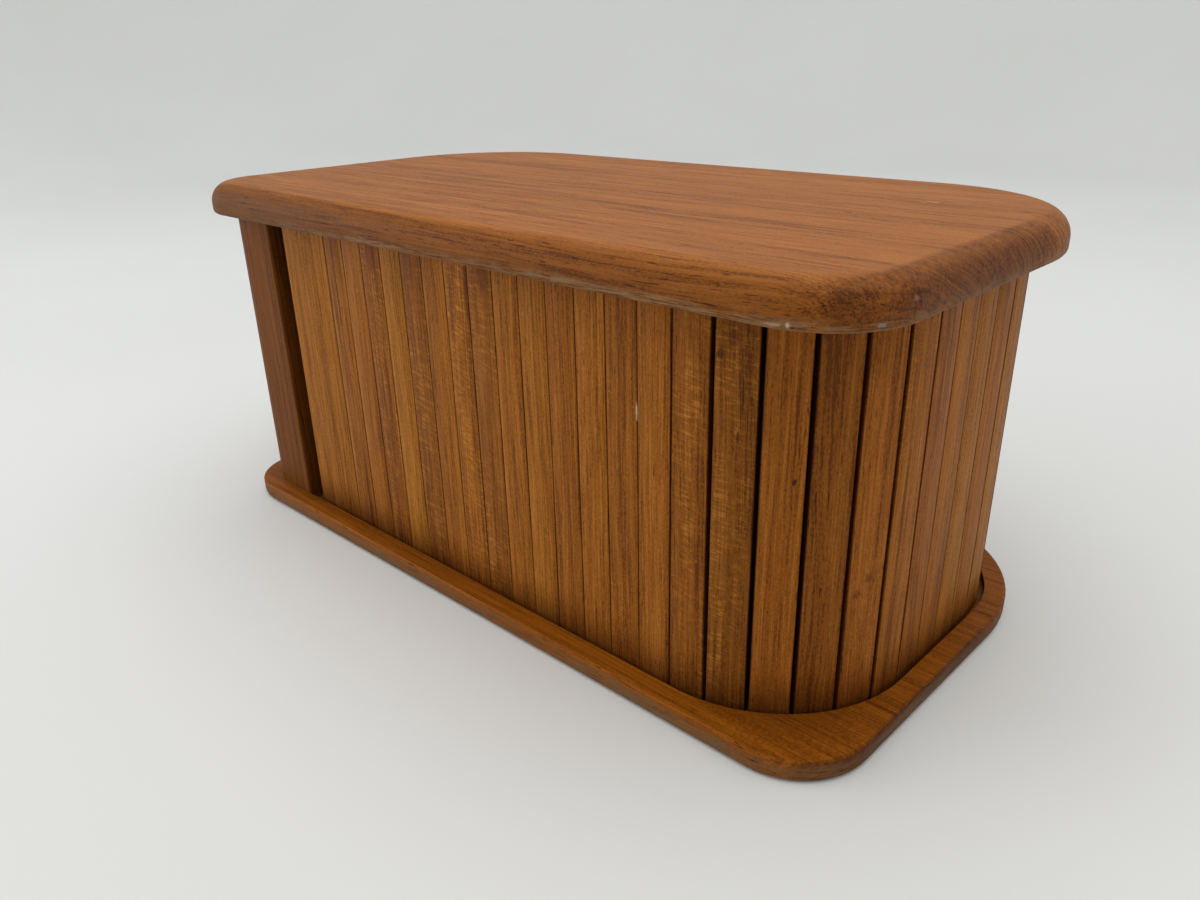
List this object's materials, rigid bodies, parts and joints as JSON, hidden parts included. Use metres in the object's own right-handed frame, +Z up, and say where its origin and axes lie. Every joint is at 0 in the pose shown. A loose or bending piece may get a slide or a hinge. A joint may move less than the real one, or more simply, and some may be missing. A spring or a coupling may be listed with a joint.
{
  "type": "tambour box",
  "caption": "Long wooden box with rounded corners for papers and keepsakes, closed by a shutter of upright slats that slides sideways round the corner and in behind the back wall.",
  "frame": {"origin": "middle of the box on the surface it stands on, at the underside of the base board", "axes": "+X along the box to the right seen from the front, -Y towards the front where the shutter closes, +Z up"},
  "size_m": [0.313, 0.169, 0.1395],
  "materials": {
    "top_wood": "waxed, worn satin",
    "base_wood": "waxed, worn satin",
    "wall_wood": "waxed satin",
    "slat_wood": "waxed satin",
    "inner_wood": "bare, matt",
    "dowel_wood": "bare, matt",
    "cloth": "plain woven cotton, dark"
  },
  "bodies": {
    "carcass": {"base_board": "base_wood", "top_board": "top_wood", "front_post": "wall_wood", "left_wall": "wall_wood", "rear_corner": "wall_wood", "back_wall": "wall_wood", "inner_back_board": "inner_wood", "inner_end_board": "inner_wood", "dowels": "dowel_wood"},
    "shutter_front": {"lead_slat": "slat_wood", "slat_01": "slat_wood", "slat_02": "slat_wood", "slat_03": "slat_wood", "slat_04": "slat_wood", "slat_05": "slat_wood", "slat_06": "slat_wood", "slat_07": "slat_wood", "slat_08": "slat_wood", "slat_09": "slat_wood", "slat_10": "slat_wood", "slat_11": "slat_wood", "slat_12": "slat_wood", "cloth_front": "cloth"},
    "shutter_13": {"slat_13": "slat_wood", "cloth_13": "cloth"},
    "shutter_14": {"slat_14": "slat_wood", "cloth_14": "cloth"},
    "shutter_15": {"slat_15": "slat_wood", "cloth_15": "cloth"},
    "shutter_16_18": {"slat_16": "slat_wood", "slat_17": "slat_wood", "slat_18": "slat_wood", "cloth_16_18": "cloth"},
    "shutter_19": {"slat_19": "slat_wood", "cloth_19": "cloth"},
    "shutter_20": {"slat_20": "slat_wood", "cloth_20": "cloth"},
    "shutter_21_22": {"slat_21": "slat_wood", "slat_22": "slat_wood", "cloth_21_22": "cloth"},
    "shutter_23": {"slat_23": "slat_wood", "cloth_23": "cloth"},
    "shutter_24": {"slat_24": "slat_wood", "cloth_24": "cloth"},
    "shutter_25": {"slat_25": "slat_wood", "cloth_25": "cloth"},
    "shutter_26_27": {"slat_26": "slat_wood", "slat_27": "slat_wood", "cloth_26_27": "cloth"},
    "shutter_28": {"slat_28": "slat_wood", "cloth_28": "cloth"},
    "shutter_29": {"slat_29": "slat_wood", "cloth_29": "cloth"},
    "shutter_30": {"slat_30": "slat_wood", "cloth_30": "cloth"},
    "shutter_31": {"slat_31": "slat_wood", "cloth_31": "cloth"}
  },
  "joints": [
    {"name": "shutter_slide", "type": "slide", "parent": "carcass", "child": "shutter_front", "axis": [1, 0, 0], "range_m": [-0.0064, 0.025]},
    {"name": "follow_13", "type": "hinge", "parent": "carcass", "child": "shutter_13", "pos_m": [0.08678, 0.3378, 0], "axis": [0, 0, 1], "range_deg": [-0.92, 3.53]},
    {"name": "follow_14", "type": "hinge", "parent": "carcass", "child": "shutter_14", "pos_m": [0.09156, 0.02287, 0], "axis": [0, 0, 1], "range_deg": [-3.93, 15.29]},
    {"name": "follow_15", "type": "hinge", "parent": "carcass", "child": "shutter_15", "pos_m": [0.09861, -0.02483, 0], "axis": [0, 0, 1], "range_deg": [-8.11, 31.62]},
    {"name": "follow_16_18", "type": "hinge", "parent": "carcass", "child": "shutter_16_18", "pos_m": [0.0995, -0.027, 0], "axis": [0, 0, 1], "range_deg": [-8.55, 33.33]},
    {"name": "follow_19", "type": "hinge", "parent": "carcass", "child": "shutter_19", "pos_m": [0.0902, -0.02399, 0], "axis": [0, 0, 1], "range_deg": [-6.97, 27.16]},
    {"name": "follow_20", "type": "hinge", "parent": "carcass", "child": "shutter_20", "pos_m": [0.00254, -0.01365, 0], "axis": [0, 0, 1], "range_deg": [-2.62, 10.16]},
    {"name": "follow_21_22", "type": "slide", "parent": "carcass", "child": "shutter_21_22", "axis": [0, 1, 0], "range_m": [-0.00642, 0.02502]},
    {"name": "follow_23", "type": "hinge", "parent": "carcass", "child": "shutter_23", "pos_m": [-0.10671, 0.01504, 0], "axis": [0, 0, 1], "range_deg": [-1.48, 5.73]},
    {"name": "follow_24", "type": "hinge", "parent": "carcass", "child": "shutter_24", "pos_m": [0.06258, 0.01735, 0], "axis": [0, 0, 1], "range_deg": [-4.53, 17.64]},
    {"name": "follow_25", "type": "hinge", "parent": "carcass", "child": "shutter_25", "pos_m": [0.09873, 0.02367, 0], "axis": [0, 0, 1], "range_deg": [-8.33, 32.46]},
    {"name": "follow_26_27", "type": "hinge", "parent": "carcass", "child": "shutter_26_27", "pos_m": [0.0995, 0.024, 0], "axis": [0, 0, 1], "range_deg": [-8.55, 33.33]},
    {"name": "follow_28", "type": "hinge", "parent": "carcass", "child": "shutter_28", "pos_m": [0.09932, 0.0237, 0], "axis": [0, 0, 1], "range_deg": [-8.5, 33.15]},
    {"name": "follow_29", "type": "hinge", "parent": "carcass", "child": "shutter_29", "pos_m": [0.09573, 0.01087, 0], "axis": [0, 0, 1], "range_deg": [-6.48, 25.27]},
    {"name": "follow_30", "type": "hinge", "parent": "carcass", "child": "shutter_30", "pos_m": [0.0838, -0.11535, 0], "axis": [0, 0, 1], "range_deg": [-2.02, 7.82]},
    {"name": "follow_31", "type": "slide", "parent": "carcass", "child": "shutter_31", "axis": [-1, 0, 0], "range_m": [-0.00642, 0.02502]}
  ],
  "couplings": [
    {"joint": "follow_13", "follows": "shutter_slide", "rad_per_m": 2.4525},
    {"joint": "follow_14", "follows": "shutter_slide", "rad_per_m": 10.662},
    {"joint": "follow_15", "follows": "shutter_slide", "rad_per_m": 22.059},
    {"joint": "follow_16_18", "follows": "shutter_slide", "rad_per_m": 23.256},
    {"joint": "follow_19", "follows": "shutter_slide", "rad_per_m": 18.948},
    {"joint": "follow_20", "follows": "shutter_slide", "rad_per_m": 7.0777},
    {"joint": "follow_21_22", "follows": "shutter_slide", "ratio": 1},
    {"joint": "follow_23", "follows": "shutter_slide", "rad_per_m": 3.9878},
    {"joint": "follow_24", "follows": "shutter_slide", "rad_per_m": 12.303},
    {"joint": "follow_25", "follows": "shutter_slide", "rad_per_m": 22.65},
    {"joint": "follow_26_27", "follows": "shutter_slide", "rad_per_m": 23.256},
    {"joint": "follow_28", "follows": "shutter_slide", "rad_per_m": 23.132},
    {"joint": "follow_29", "follows": "shutter_slide", "rad_per_m": 17.626},
    {"joint": "follow_30", "follows": "shutter_slide", "rad_per_m": 5.442},
    {"joint": "follow_31", "follows": "shutter_slide", "ratio": 1}
  ]
}
